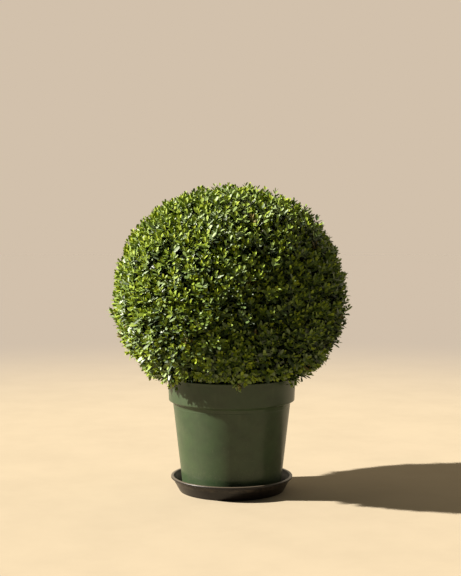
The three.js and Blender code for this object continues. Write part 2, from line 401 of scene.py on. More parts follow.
@dataclass(frozen=True)
class KeepOut:
    """The space under the ball that the pot's rim and the compost take.

    Attributes:
        mouth_radius: radius of the pot's mouth.
        mouth_level: height of the foliage over the compost.
        rim_radius: radius of the rim's outer edge.
        rim_level: height of the foliage over the rim and beyond it.
        sprigs: how many places round the rim where a sprig hangs over it.
        sprig_drop: how far such a sprig hangs.
        sprig_turn: direction of one of them, in degrees.
        sprig_sharpness: how narrow they are.
        side_drop: how far sprigs hang on the ball's fuller side, the one towards -X.
        side_sprigs: how close together those stand, as a number round the whole rim.
        side_sharpness: how narrow those are.
        side_focus: how closely they keep to that side.
        draw_steps: most steps that a tip is drawn back by.
        draw_share: share of the way to the ball's middle in each step.
    """

    mouth_radius: float = 134 * MM
    mouth_level: float = 228 * MM
    rim_radius: float = 142 * MM
    rim_level: float = 256 * MM
    sprigs: int = 7
    sprig_drop: float = 26 * MM
    sprig_turn: float = -86.0
    sprig_sharpness: float = 12.0
    side_drop: float = 17 * MM
    side_sprigs: int = 19
    side_sharpness: float = 2.5
    side_focus: int = 4
    draw_steps: int = 30
    draw_share: float = 0.02

    def is_clear(self, points: Array) -> Array:
        """Tell which points are clear of the pot.

        Args:
            points: the points, with their place on the last axis.

        Returns:
            Whether each is clear.
        """
        radius = np.linalg.norm(points[..., :2], axis=-1)
        turn = np.arctan2(points[..., 1], points[..., 0]) - math.radians(self.sprig_turn)
        sprig = (0.5 + 0.5 * np.cos(self.sprigs * turn)) ** self.sprig_sharpness
        side = np.clip(-points[..., 0] / radius, 0, 1) ** self.side_focus
        side_sprig = (0.5 + 0.5 * np.cos(self.side_sprigs * turn)) ** self.side_sharpness
        drop = self.sprig_drop * sprig + self.side_drop * side * side_sprig
        hang = self.rim_level - np.where(radius > self.rim_radius, drop, 0.0)
        return points[..., 2] > np.where(radius < self.mouth_radius, self.mouth_level, hang)

    def drawn_clear(self, points: Array, middle: Array) -> Array:
        """Draw the points that are in the space towards the ball's middle.

        Args:
            points: the points, one a row.
            middle: the ball's middle.

        Returns:
            The points, all clear where the most steps allow it.
        """
        for _ in range(self.draw_steps):
            clear = self.is_clear(points)[:, None]
            points = np.where(clear, points, blend(points, middle, self.draw_share))
        return points


@dataclass
class Limbs:
    """Limbs of one level: where each starts and ends, and the direction that it was sent in."""

    level: GrowthLevel
    starts: Array
    ends: Array
    directions: Array


@dataclass(frozen=True)
class Growth:
    """The whole rule of growth. The first three levels are those of the part's source."""

    seed: int = 1847
    fork: Triple = (9 * MM, -4 * MM, 292.3 * MM)
    levels: tuple[GrowthLevel, ...] = (
        GrowthLevel(9, 0.42, 0.16, 6.2 * MM, 4.6 * MM),
        GrowthLevel(44, 0.74, 0.1, 3.9 * MM, 2.7 * MM),
        GrowthLevel(94, 0.935, 0.07, 2.5 * MM, 1.2 * MM),
        GrowthLevel(1050, 0.88, 0.035, 1.3 * MM, 0.8 * MM, (0.1, 0.75), -0.8),
        GrowthLevel(4700, 0.92, 0.02, 0.75 * MM, 0.5 * MM, (0.3, 0.85), -0.86),
    )

    def grow(self, outline: Outline) -> list[Limbs]:
        """Grow the limbs level by level, each from the last level's limb that points most nearly its way.

        Args:
            outline: the ball's outline.

        Returns:
            The limbs of each level, from boughs to shoots.
        """
        random = SeededRandom(self.seed)
        fork = np.array([self.fork])
        grown = [Limbs(self.levels[0], fork, fork, np.array([UP]))]
        for level in self.levels:
            last = grown[-1]
            directions = outline.spread_directions(level, random)
            parents = np.argmax(directions @ last.directions.T, axis=1)
            share = np.array([blend(*level.fork_share, random.draw()) if level.fork_share[0] < 1 else 1.0
                              for _ in range(level.count)])
            starts = blend(last.starts[parents], last.ends[parents], share[:, None])
            grown.append(Limbs(level, starts, outline.point(directions, level.reach), directions))
        return grown[1:]


# ---------- node groups


class Sockets(Enum):
    """Kinds of socket that a node group shows."""

    VALUE = "NodeSocketFloat"
    COLOUR = "NodeSocketColor"


class NodeBench:
    """Lays out and links the nodes of one material or node group."""

    def __init__(self, tree: bpy.types.NodeTree) -> None:
        """Work on a node tree."""
        self.tree = tree

    def wire(self, node: Node, sockets: dict[str | int, object]) -> None:
        """Give inputs of a node their own values, or other nodes' outputs to link.

        Args:
            node: the node.
            sockets: what each input gets.
        """
        for name, value in sockets.items():
            if isinstance(value, Socket):
                self.tree.links.new(value, node.inputs[name])
            else:
                node.inputs[name].default_value = value

    def add(self, kind: str, sockets: dict[str | int, object] | None = None, **settings: object) -> Node:
        """Add a node.

        Args:
            kind: Blender's name of the node's type, without its prefix.
            sockets: what each input gets: a value, or another node's output to link.
            settings: properties of the node.

        Returns:
            The new node.
        """
        node = self.tree.nodes.new(f"ShaderNode{kind}")
        for name, value in settings.items():
            setattr(node, name, value)
        self.wire(node, sockets or {})
        return node

    def here(self) -> Socket:
        """Return the place on the object that is being shaded."""
        return self.add("TexCoord").outputs["Object"]

    def math(self, operation: str, *values: object) -> Socket:
        """Add a Math node on numbers or outputs, and return its output."""
        return self.add("Math", dict(enumerate(values)), operation=operation).outputs[0]

    def plus(self, first: object, second: object) -> Socket:
        """Return the sum of two numbers or outputs."""
        return self.math("ADD", first, second)

    def minus(self, first: object, second: object) -> Socket:
        """Return the first less the second."""
        return self.math("SUBTRACT", first, second)

    def times(self, first: object, second: object) -> Socket:
        """Return the product of two numbers or outputs."""
        return self.math("MULTIPLY", first, second)

    def noise(self, place: Socket, scale: float, detail: float = 4.0, roughness: float = 0.55,
              stretch: Triple | None = None) -> Socket:
        """Add a noise texture.

        Args:
            place: where it is read.
            scale: how fine it is.
            detail: how many finer layers it has.
            roughness: how strong those are.
            stretch: how the place is stretched first, or None where it isn't.

        Returns:
            Its value.
        """
        if stretch:
            place = self.stretch(place, stretch)
        sockets = {"Vector": place, "Scale": scale, "Detail": detail, "Roughness": roughness}
        return self.add("TexNoise", sockets).outputs["Fac"]

    def stretch(self, place: Socket, scale: Triple) -> Socket:
        """Add a Mapping node that stretches a place, and return the stretched one."""
        return self.add("Mapping", {"Vector": place, "Scale": scale}).outputs[0]

    def ramp(self, value: object, low: float, high: float, most: float = 1.0) -> Socket:
        """Return a smooth step: 0 below the low limit, and the most above the high one."""
        sockets = {"Value": value, "From Min": low, "From Max": high, "To Max": most}
        return self.add("MapRange", sockets, interpolation_type="SMOOTHSTEP").outputs[0]

    def mask(self, place: Socket, low: float, high: float, **pattern: object) -> Socket:
        """Return noise at a place, cut to a mask: 0 below the low limit and 1 above the high one."""
        return self.ramp(self.noise(place, **pattern), low, high)

    def mix(self, share: object, first: object, second: object) -> Socket:
        """Add a Mix node on two colours.

        Args:
            share: share of the second.
            first: the first colour.
            second: the second colour.

        Returns:
            The mixed colour.
        """
        node = self.add("Mix", data_type="RGBA")
        self.wire(node, {0: share, 6: first, 7: second})
        return node.outputs[2]

    def bump(self, height: Socket, strength: float, depth: float) -> Socket:
        """Add a Bump node on a height, and return its normal."""
        return self.add("Bump", {"Height": height, "Strength": strength, "Distance": depth}).outputs[0]


class EffectGroup:
    """A named shader node group with inputs and outputs, built once."""

    def __init__(self, name: str, inputs: dict[str, Sockets], outputs: dict[str, Sockets]) -> None:
        """Make the empty group.

        Args:
            name: the group's name.
            inputs: kind of each input.
            outputs: kind of each output.
        """
        self.tree = bpy.data.node_groups.new(name, "ShaderNodeTree")
        for way, sockets in (("INPUT", inputs), ("OUTPUT", outputs)):
            for label, kind in sockets.items():
                self.tree.interface.new_socket(label, in_out=way, socket_type=kind.value)
        self.entry = self.tree.nodes.new("NodeGroupInput")
        self.exit = self.tree.nodes.new("NodeGroupOutput")
        self.bench = NodeBench(self.tree)

    def input(self, label: str) -> Socket:
        """Return one of the group's inputs, seen from inside."""
        return self.entry.outputs[label]

    def output(self, label: str, value: Socket) -> None:
        """Send a value to one of the group's outputs."""
        self.bench.wire(self.exit, {label: value})

    def place(self, bench: NodeBench, **values: object) -> Node:
        """Place the group in a material.

        Args:
            bench: the material's bench.
            values: what each input gets, with its spaces written as underscores.

        Returns:
            The group's node.
        """
        node = bench.add("Group", node_tree=self.tree)
        bench.wire(node, {label.replace("_", " "): value for label, value in values.items()})
        return node


def mould_skin_group() -> EffectGroup:
    """Make the skin of moulded plastic: a fine orange peel, with slow waves where it cooled unevenly.

    Returns:
        The group, which puts out the skin's height and its mottle.
    """
    group = EffectGroup("mould_skin", dict.fromkeys(("Peel", "Waves"), Sockets.VALUE),
                        dict.fromkeys(("Height", "Mottle"), Sockets.VALUE))
    bench = group.bench
    place = bench.here()
    peel = bench.noise(place, scale=900, detail=2.0)
    waves = bench.noise(place, scale=22, detail=2.0, stretch=(1, 1, 0.35))
    peel_height = bench.times(peel, group.input("Peel"))
    group.output("Height", bench.plus(peel_height, bench.times(waves, group.input("Waves"))))
    group.output("Mottle", bench.noise(place, scale=34, detail=5.0))
    return group


def wear_and_lip_highlight_group() -> EffectGroup:
    """Make the weathering of plastic left outdoors: bleaching, dust, run marks and rubbed edges, and a paler
    band at the rim's top that is a painted highlight of the lip.

    Returns:
        The group, which puts out the weathered colour with the painted lip highlight, and a mask of the dust.
    """
    inputs = dict.fromkeys(("Colour", "Dust Colour"), Sockets.COLOUR)
    inputs.update(dict.fromkeys(("Dust", "Foot", "Splash Height", "Bleach", "Rim"), Sockets.VALUE))
    group = EffectGroup("outdoor_wear", inputs, {"Colour": Sockets.COLOUR, "Mask": Sockets.VALUE})
    bench = group.bench
    dust_colour = group.input("Dust Colour")
    place = bench.here()
    height = bench.add("SeparateXYZ", {0: place}).outputs[2]
    above_foot = bench.math("DIVIDE", bench.minus(height, group.input("Foot")), group.input("Splash Height"))
    splash = bench.minus(1.0, bench.ramp(above_foot, 0.0, 1.0))
    speckle = bench.mask(place, 0.46, 0.72, scale=260, detail=6.0, roughness=0.7)
    clouds = bench.mask(place, 0.35, 0.75, scale=18)
    runs = bench.mask(place, 0.55, 0.8, scale=110, detail=3.0, stretch=(1, 1, 0.06))
    faint_runs = bench.times(runs, 0.45)
    settled = bench.plus(bench.times(splash, speckle), bench.times(clouds, faint_runs))
    dust = bench.times(settled, group.input("Dust"))
    edge = bench.ramp(bench.add("NewGeometry").outputs["Pointiness"], 0.52, 0.6)
    rub = bench.times(bench.times(edge, bench.mask(place, 0.35, 0.65, scale=95)), 0.1)
    faded = bench.mix(bench.times(clouds, group.input("Bleach")), group.input("Colour"), dust_colour)
    # Painted highlight: the lip is paled from 2 mm below the rim height upwards, standing in for the light
    # that its rounded bead catches.
    above_rim = bench.minus(height, group.input("Rim"))
    painted_lip_highlight = bench.ramp(above_rim, -2 * MM, -0.5 * MM, most=0.24)
    worn_and_highlit = bench.mix(bench.math("MAXIMUM", rub, painted_lip_highlight), faded, dust_colour)
    group.output("Colour", bench.mix(dust, worn_and_highlit, dust_colour))
    group.output("Mask", dust)
    return group


def scuff_group() -> EffectGroup:
    """Make fine scuffs: short thin scratches in two directions, thickest in scattered patches.

    Returns:
        The group, which puts out a mask of the scratches.
    """
    group = EffectGroup("scuffs", {"Density": Sockets.VALUE}, {"Mask": Sockets.VALUE})
    bench = group.bench
    place = bench.here()
    flat = bench.mask(place, 0.66, 0.72, scale=170, detail=3.0, stretch=(0.25, 0.25, 9))
    steep = bench.mask(place, 0.68, 0.74, scale=120, detail=3.0, stretch=(5, 5, 0.6))
    where = bench.mask(place, 0.42, 0.62, scale=14, detail=3.0)
    scratches = bench.times(bench.math("MAXIMUM", flat, steep), where)
    group.output("Mask", bench.times(scratches, group.input("Density")))
    return group


def bark_group() -> EffectGroup:
    """Make box bark: fissured, corky and streaked along the limb.

    Returns:
        The group, which puts out the bark's colour and height.
    """
    inputs = {"Ridge Colour": Sockets.COLOUR, "Cleft Colour": Sockets.COLOUR, "Scale": Sockets.VALUE}
    group = EffectGroup("box_bark", inputs, {"Colour": Sockets.COLOUR, "Height": Sockets.VALUE})
    bench = group.bench
    scaling = {0: bench.here(), "Scale": group.input("Scale")}
    place = bench.add("VectorMath", scaling, operation="SCALE").outputs[0]
    streaks = bench.noise(place, scale=420, detail=6.0, roughness=0.65, stretch=(1, 1, 0.22))
    cells = {"Vector": bench.stretch(place, (1, 1, 0.4)), "Scale": 260.0}
    cork = bench.add("TexVoronoi", cells).outputs["Distance"]
    ridge = bench.ramp(bench.plus(streaks, bench.times(cork, 0.5)), 0.45, 0.95)
    lichen = bench.times(bench.mask(place, 0.58, 0.7, scale=90, detail=5.0), 0.35)
    colour = bench.mix(ridge, group.input("Cleft Colour"), group.input("Ridge Colour"))
    group.output("Colour", bench.mix(lichen, colour, opaque((0.3, 0.32, 0.2))))
    group.output("Height", ridge)
    return group


# ---------- finishes


def new_material(name: str) -> tuple[Material, NodeBench, Node]:
    """Start a material.

    Args:
        name: its name.

    Returns:
        The material, a bench for its nodes, and its shader.
    """
    material = bpy.data.materials.new(name)
    material.use_nodes = True
    return material, NodeBench(material.node_tree), material.node_tree.nodes["Principled BSDF"]


@dataclass(frozen=True)
class LeafFinish:
    """A glossy leaf of one plain colour."""

    name: str
    colour: Triple
    roughness: float
    shine: float

    def make(self) -> Material:
        """Make the material.

        Returns:
            The material.
        """
        material, bench, shader = new_material(self.name)
        bench.wire(shader, {"Base Color": opaque(self.colour), "Roughness": self.roughness,
                            "Specular IOR Level": self.shine})
        material.diffuse_color = opaque(self.colour)
        return material


@dataclass(frozen=True)
class PlasticFinish:
    """Moulded plastic that has stood outdoors: its colours, its weathering with a painted highlight along the
    rim, and how far each kind dulls it.
    """

    name: str
    colour: Triple
    # The pale colour of dust, bleaching, rubs and scuffs, and also of the painted lip highlight.
    dust_colour: Triple
    roughness: float
    shine: float
    dust: float
    bleach: float
    peel: float
    scuffs: float
    foot: float
    splash_height: float
    # Height from which the lip is paled: a painted highlight.
    rim: float
    gloss: float = 0.0
    gloss_roughness: float = 0.22
    mottle_share: float = 0.8
    mottle_dullness: float = 0.16
    dust_dullness: float = 0.35
    scuff_dullness: float = 0.2
    scuff_paleness: float = 0.35
    scuff_depth: float = 0.6
    relief: float = 0.35
    depth: float = 0.4 * MM

    def make(self, skin: EffectGroup, wear: EffectGroup, scuffs: EffectGroup) -> Material:
        """Make the material.

        Args:
            skin: the mould skin group.
            wear: the group of outdoor weathering and the painted lip highlight.
            scuffs: the scuff group.

        Returns:
            The material.
        """
        material, bench, shader = new_material(self.name)
        dust_colour = opaque(self.dust_colour)
        moulded = skin.place(bench, Peel=self.peel, Waves=1.0).outputs
        clouds = bench.ramp(moulded["Mottle"], 0.35, 0.7)
        mottled = bench.mix(clouds, opaque(self.colour), opaque(self.colour, self.mottle_share))
        # The weathered colour also carries the painted lip highlight.
        worn_and_highlit = wear.place(bench, Colour=mottled, Dust_Colour=dust_colour, Dust=self.dust, Foot=self.foot,
                          Splash_Height=self.splash_height, Bleach=self.bleach, Rim=self.rim).outputs
        scratches = scuffs.place(bench, Density=self.scuffs).outputs["Mask"]
        colour = bench.mix(bench.times(scratches, self.scuff_paleness), worn_and_highlit["Colour"], dust_colour)
        dulled = bench.plus(bench.times(worn_and_highlit["Mask"], self.dust_dullness),
                            bench.times(scratches, self.scuff_dullness))
        mottle = bench.times(bench.minus(moulded["Mottle"], 0.5), self.mottle_dullness)
        height = bench.minus(moulded["Height"], bench.times(scratches, self.scuff_depth))
        bench.wire(shader, {
            "Base Color": colour,
            "Roughness": bench.plus(bench.plus(self.roughness, mottle), dulled),
            "Normal": bench.bump(height, self.relief, self.depth),
            "Specular IOR Level": self.shine,
            "Coat Weight": self.gloss,
            "Coat Roughness": self.gloss_roughness,
        })
        return material


@dataclass(frozen=True)
class BarkFinish:
    """Bark of one age, from the corky stem to green young wood."""

    name: str
    ridge: Triple
    cleft: Triple
    scale: float
    roughness: float = 0.85
    relief: float = 0.8
    depth: float = 1.2 * MM

    def make(self, bark: EffectGroup) -> Material:
        """Make the material.

        Args:
            bark: the bark group.

        Returns:
            The material.
        """
        material, bench, shader = new_material(self.name)
        made = bark.place(bench, Ridge_Colour=opaque(self.ridge), Cleft_Colour=opaque(self.cleft),
                          Scale=self.scale).outputs
        bench.wire(shader, {"Base Color": made["Colour"], "Roughness": self.roughness,
                            "Normal": bench.bump(made["Height"], self.relief, self.depth)})
        return material


@dataclass(frozen=True)
class CompostFinish:
    """Moist potting compost with paler fibres."""

    name: str = "potting_compost"
    dark: Triple = (0.022, 0.014, 0.009)
    pale: Triple = (0.11, 0.075, 0.045)
    fibre: Triple = (0.2, 0.14, 0.08)
    fibre_share: float = 0.4
    roughness: float = 0.92
    depth: float = 3 * MM

    def make(self) -> Material:
        """Make the material.

        Returns:
            The material.
        """
        material, bench, shader = new_material(self.name)
        place = bench.here()
        crumbs = bench.noise(place, scale=240, detail=8.0, roughness=0.7)
        fibres = bench.mask(place, 0.62, 0.7, scale=120, stretch=(1, 6, 6))
        colour = bench.mix(bench.ramp(crumbs, 0.4, 0.75), opaque(self.dark), opaque(self.pale))
        colour = bench.mix(bench.times(fibres, self.fibre_share), colour, opaque(self.fibre))
        bench.wire(shader, {"Base Color": colour, "Roughness": self.roughness,
                            "Normal": bench.bump(crumbs, 1.0, self.depth)})
        return material


# ---------- pot and saucer


@dataclass
class Saucer:
    """The drip saucer: a round foot, a flared wall and a lip that turns out."""

    foot_radius: float = 114.7 * MM
    foot_round: float = 3 * MM
    lip_width: float = 4.2 * MM
    lip_depth: float = 4.6 * MM
    hollow_round: float = 1.2 * MM
    hollow_shift: float = 0.6 * MM
    lip_round: float = 1.0 * MM
    lip_shift: float = 1.2 * MM
    floor: float = 3.2 * MM
    wall: float = 2.6 * MM
    inner_round: float = 3 * MM
    span: float = 6 * MM
    sides: int = 160
    crease: float = 40

    def profile(self) -> Array:
        """Lay out the turned outline, from the underside's middle round to the floor's.

        Returns:
            Its points of radius and height.
        """
        _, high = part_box("saucer")
        height, lip_radius = high.z, high.x
        wall_top = lip_radius - self.lip_width
        lip_foot = height - self.lip_depth
        hollow = lip_foot - self.wall
        bead = self.lip_width / 2
        inner_foot = self.foot_radius - self.wall
        floor_round = self.floor + self.inner_round
        points = [(0.0, 0.0)]
        points += arc((self.foot_radius - self.foot_round, self.foot_round), self.foot_round, -90, -14)
        points += [(wall_top - self.hollow_shift, hollow)]
        points += arc((wall_top + self.hollow_shift, hollow), self.hollow_round, 180, 90, 3)
        points += arc((lip_radius - self.lip_shift, lip_foot + self.lip_round), self.lip_round, -90, 0, 3)
        points += arc((lip_radius - bead, height - bead), bead, 0, 90)
        points += arc((wall_top - self.wall + bead, height - bead), bead, 90, 180)
        points += [(inner_foot, floor_round)]
        points += arc((inner_foot - self.inner_round, floor_round), self.inner_round, 0, -90, 4)
        points += [(0.0, self.floor)]
        return refine(points, self.span)

    def build(self, finish: Material) -> Piece:
        """Build the saucer in its finish, and return it."""
        body = turned(self.profile(), self.sides)
        return make_piece("drip_saucer", body, finish, ("saucer",), self.crease)


@dataclass
class Pot:
    """The tapered pot with a plain band under its rim, one fine moulded ring and a ring foot."""

    band_depth: float = 51 * MM
    band_draft: float = 2.5 * MM
    band_round: float = 1.5 * MM
    band_undercut: float = 1.2 * MM
    band_lift: float = 0.3 * MM
    body_radius: float = 127.5 * MM
    foot_radius: float = 106.5 * MM
    foot_round: float = 2 * MM
    foot_ring: float = 2.5 * MM
    foot_ring_width: float = 9 * MM
    shoulder_depth: float = 6 * MM
    shoulder_step: float = 0.4 * MM
    wall: float = 2.8 * MM
    floor: float = 3 * MM
    floor_round: float = 4 * MM
    rim_draft: float = 0.4 * MM
    rim_round: float = 1.4 * MM
    ring_below_band: float = 14 * MM
    ring_depth: float = 0.2 * MM
    ring_half: float = 1.4 * MM
    ring_turns: tuple[int, ...] = (30, 60, 90, 120, 150)
    span: float = 7 * MM
    sides: int = 192
    crease: float = 32

    def profile(self) -> Array:
        """Lay out the turned outline, from the underside's middle up the outside and down the inside.

        Returns:
            Its points of radius and height.
        """
        low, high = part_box("pot")
        foot, top, rim_radius = low.z, high.z, high.x
        band_foot = top - self.band_depth
        shoulder = band_foot - self.shoulder_depth
        band_radius = rim_radius - self.band_draft
        band_corner = band_radius - self.band_round
        ring = band_foot - self.ring_below_band
        ring_foot, ring_top = ring - self.ring_half, ring + self.ring_half
        foot_inside = self.foot_radius - self.foot_ring_width
        underside = foot + self.foot_ring
        floor_top = underside + self.floor

        def body(height: float) -> float:
            """Return the body's outer radius at a height."""
            return blend(self.foot_radius, self.body_radius, (height - foot) / (shoulder - foot))

        points = [(0.0, underside), (foot_inside - self.foot_ring, underside), (foot_inside, foot)]
        points += arc((self.foot_radius - self.foot_round, foot + self.foot_round), self.foot_round, -90, 0)
        points += [(body(ring_foot), ring_foot)]
        for turn in map(math.radians, self.ring_turns):
            out, down = self.ring_depth * math.sin(turn), self.ring_half * math.cos(turn)
            points += [(body(ring) + out, ring - down)]
        points += [(body(ring_top), ring_top), (self.body_radius, shoulder - self.band_undercut)]
        points += [(self.body_radius + self.shoulder_step, shoulder)]
        points += [(band_corner, band_foot - self.band_undercut)]
        points += arc((band_corner, band_foot + self.band_lift), self.band_round, -60, 0, 4)
        points += [(rim_radius - self.rim_draft, top - 2 * self.rim_round)]
        points += arc((rim_radius - self.rim_round, top - self.rim_round), self.rim_round, 0, 180, 8)
        points += [(band_radius - self.wall, band_foot + self.wall)]
        points += [(self.body_radius - self.wall, shoulder + self.wall)]
        points += [(body(floor_top) - self.wall, floor_top + self.floor_round)]
        points += [(body(floor_top) - 2 * self.wall, floor_top), (0.0, floor_top)]
        return refine(points, self.span)

    def build(self, finish: Material) -> Piece:
        """Build the pot in its finish, and return it."""
        body = turned(self.profile(), self.sides)
        return make_piece("plant_pot", body, finish, ("pot",), self.crease)


@dataclass
class Compost:
    """The compost in the pot, with its crumbled top."""

    rings: int = 40
    sides: int = 160
    clearance: float = 0.5 * MM
    relief: float = 2.2 * MM
    wave_share: float = 0.45
    wide_waves: Pair = (260, 235)
    fine_waves: Pair = (610, 540)
    foot_share: float = 0.77
    shoulder_share: float = 0.93
    shoulder_depth: float = 30 * MM
    crease: float = 50

    def build(self, finish: Material) -> Piece:
        """Build the compost.

        Args:
            finish: its material.

        Returns:
            The piece.
        """
        low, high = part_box("soil")
        edge = high.x - self.clearance
        top = high.z - self.relief
        outside = [(0.0, low.z), (edge * self.foot_share, low.z),
                   (edge * self.shoulder_share, top - self.shoulder_depth)]
        surface = [(edge * (1 - ring / self.rings), top) for ring in range(self.rings)]
        body = turned(np.array([*outside, *surface, (0.0, top)]), self.sides)
        x, y, z = body.points.T
        wide = np.sin(x * self.wide_waves[0]) * np.cos(y * self.wide_waves[1])
        fine = np.sin(x * self.fine_waves[0] + y * self.fine_waves[1])
        body.points[:, 2] += np.where(z == top, self.wave_share * self.relief * (wide + fine), 0.0)
        return make_piece("compost", body, finish, ("soil",), self.crease)


# ---------- wood


def limb_surface(paths: Array, radii: Array, sides: int) -> Surface:
    """Make tapering limbs along paths.

    Args:
        paths: points along each limb, as limb, point and place.
        radii: radius at each of those points.
        sides: how many flat sides a limb has.

    Returns:
        One surface of quads with every limb, its ends closed to a point.
    """
    count, steps, _ = paths.shape
    along = unit(np.gradient(paths, axis=1))
    side = unit(np.cross(along, ASKEW))
    other = np.cross(along, side)
    turns = np.linspace(0, 2 * math.pi, sides, endpoint=False)
    ring = np.cos(turns)[:, None] * side[:, :, None] + np.sin(turns)[:, None] * other[:, :, None]
    points = paths[:, :, None] + ring * radii[:, :, None, None]
    ends = paths[:, -1:, None] + along[:, -1:, None] * radii[:, -1:, None, None]
    points = np.concatenate([points, np.repeat(ends, sides, axis=2)], axis=1)
    faces, _, _ = tube_faces(steps + 1, sides)
    return Surface.repeated(points.reshape(count, -1, 3), faces)


def bowed_paths(limbs: Limbs, outline: Outline, steps: int, bow: float) -> Array:
    """Bow limbs outwards from the ball's middle.

    Args:
        limbs: the limbs.
        outline: the ball's outline.
        steps: how many points a path has.
        bow: how far it bows, as a share of its length.

    Returns:
        Paths from each limb's start to its end, as limb, point and place.
    """
    share = np.linspace(0, 1, steps)[None, :, None]
    straight = blend(limbs.starts[:, None], limbs.ends[:, None], share)
    length = np.linalg.norm(limbs.ends - limbs.starts, axis=1)[:, None, None]
    outward = unit(straight - outline.centre() + BOW_LIFT)
    return straight + outward * (bow * length * np.sin(math.pi * share))


@dataclass
class Trunk:
    """The short stem: tapered, leaning and flared at its flat foot, with the bark's relief."""

    foot_radius: float = 13 * MM
    top_radius: float = 9.5 * MM
    flare: float = 7 * MM
    flare_height: float = 14 * MM
    buttresses: int = 5
    buttress_share: float = 0.4
    lean: Pair = (9 * MM, -4 * MM)
    fissures: tuple[Pair, Pair] = ((17, 60), (29, -95))
    relief: float = 0.9 * MM
    sides: int = 72
    rings: int = 60
    crease: float = 60

    def build(self, finish: Material) -> Piece:
        """Build the trunk.

        Args:
            finish: its bark.

        Returns:
            The piece.
        """
        low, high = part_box("trunk")
        share = np.linspace(0, 1, self.rings)
        height = blend(low.z, high.z, share)
        profile = np.stack([blend(self.foot_radius, self.top_radius, share), height], axis=1)
        body = turned(np.concatenate([[[0, low.z]], profile, [[0, high.z]]]), self.sides)
        place = body.points
        x, y, z = place.T
        turn = np.arctan2(y, x)
        radius = np.maximum(np.linalg.norm(place[:, :2], axis=1), 1e-9)
        flare = self.flare * np.exp((low.z - z) / self.flare_height)
        lobe = 1 + self.buttress_share * (np.cos(self.buttresses * turn) - 1)
        fissures = np.prod([np.sin(around * turn + up * z) for around, up in self.fissures], axis=0)
        on_side = radius > 0.5 * self.top_radius
        widen = np.where(on_side, 1 + (flare * lobe - self.relief * (0.5 + 0.5 * fissures)) / radius, 1)
        bend = ((z - low.z) / (high.z - low.z))[:, None] ** 2 * np.array([self.lean])
        place[:, :2] = place[:, :2] * widen[:, None] + bend
        return make_piece("trunk_bark", body, finish, ("trunk",), self.crease)


@dataclass
class Wood:
    """The wood inside the ball. A detail is how many points a limb's path has, and how many sides it has."""

    bough_detail: tuple[int, int] = (9, 10)
    twig_detail: tuple[int, int] = (5, 4)
    shoot_sides: int = 3
    bow: float = 0.06

    def build(self, levels: list[Limbs], shoots: "Shoots", barks: dict[str, Material]) -> list[Piece]:
        """Build every limb of the ball.

        Args:
            levels: limbs of each level, from boughs to shoots.
            shoots: the leafy shoots, for their stems, their outline and the space that they keep out of.
            barks: material of old, middle and young wood.

        Returns:
            The pieces, one for each age of wood.
        """
        boughs = [self.level_surface(level, shoots, *self.bough_detail) for level in levels[:2]]
        twigs = [self.level_surface(level, shoots, *self.twig_detail) for level in levels[2:4]]
        young = limb_surface(shoots.stem_paths(), shoots.stem_radii(), self.shoot_sides)
        return [
            make_piece("boughs", Surface.joined(boughs), barks["old"]),
            make_piece("twigs", Surface.joined(twigs), barks["middle"]),
            make_piece("shoot_stems", young, barks["young"]),
        ]

    def level_surface(self, limbs: Limbs, shoots: "Shoots", steps: int, sides: int) -> Surface:
        """Build the limbs of one level, without those that would touch the pot.

        Args:
            limbs: the limbs.
            shoots: the leafy shoots.
            steps: how many points a limb's path has.
            sides: how many sides a limb has.

        Returns:
            One surface.
        """
        paths = bowed_paths(limbs, shoots.outline, steps, self.bow)
        paths = paths[shoots.keep_out.is_clear(paths).all(axis=1)]
        taper = blend(limbs.level.foot_radius, limbs.level.tip_radius, np.linspace(0, 1, steps))
        return limb_surface(paths, np.tile(taper, (len(paths), 1)), sides)


# ---------- leaves


class LeafKind(Enum):
    """Leaves by age and tint, from the newest to the oldest."""

    NEW = "new"
    FRESH = "fresh"
    BRIGHT = "bright"
    MID = "mid"
    FULL = "full"
    DEEP = "deep"
    # The oldest and the inner kinds are near-black: painted shade deep in the ball.
    OLD = "old"
    INNER = "inner"
    BRONZE = "bronze"


@dataclass
class Placements:
    """Leaves to be set out: where each is rooted, which way it lies and how big it is."""

    roots: Array
    along: Array
    face: Array
    lengths: Array
    kinds: Array

    def at(self, share: float) -> Array:
        """Return the place at a share of each leaf's length."""
        return self.roots + self.along * self.lengths[:, None] * share

    def kept(self, keep: Array) -> "Placements":
        """Return the leaves for which keep is true."""
        return Placements(*(column[keep] for column in vars(self).values()))

    @staticmethod
    def joined(sets: list["Placements"]) -> "Placements":
        """Return several sets of leaves as one."""
        columns = zip(*(vars(one).values() for one in sets))
        return Placements(*map(np.concatenate, columns))


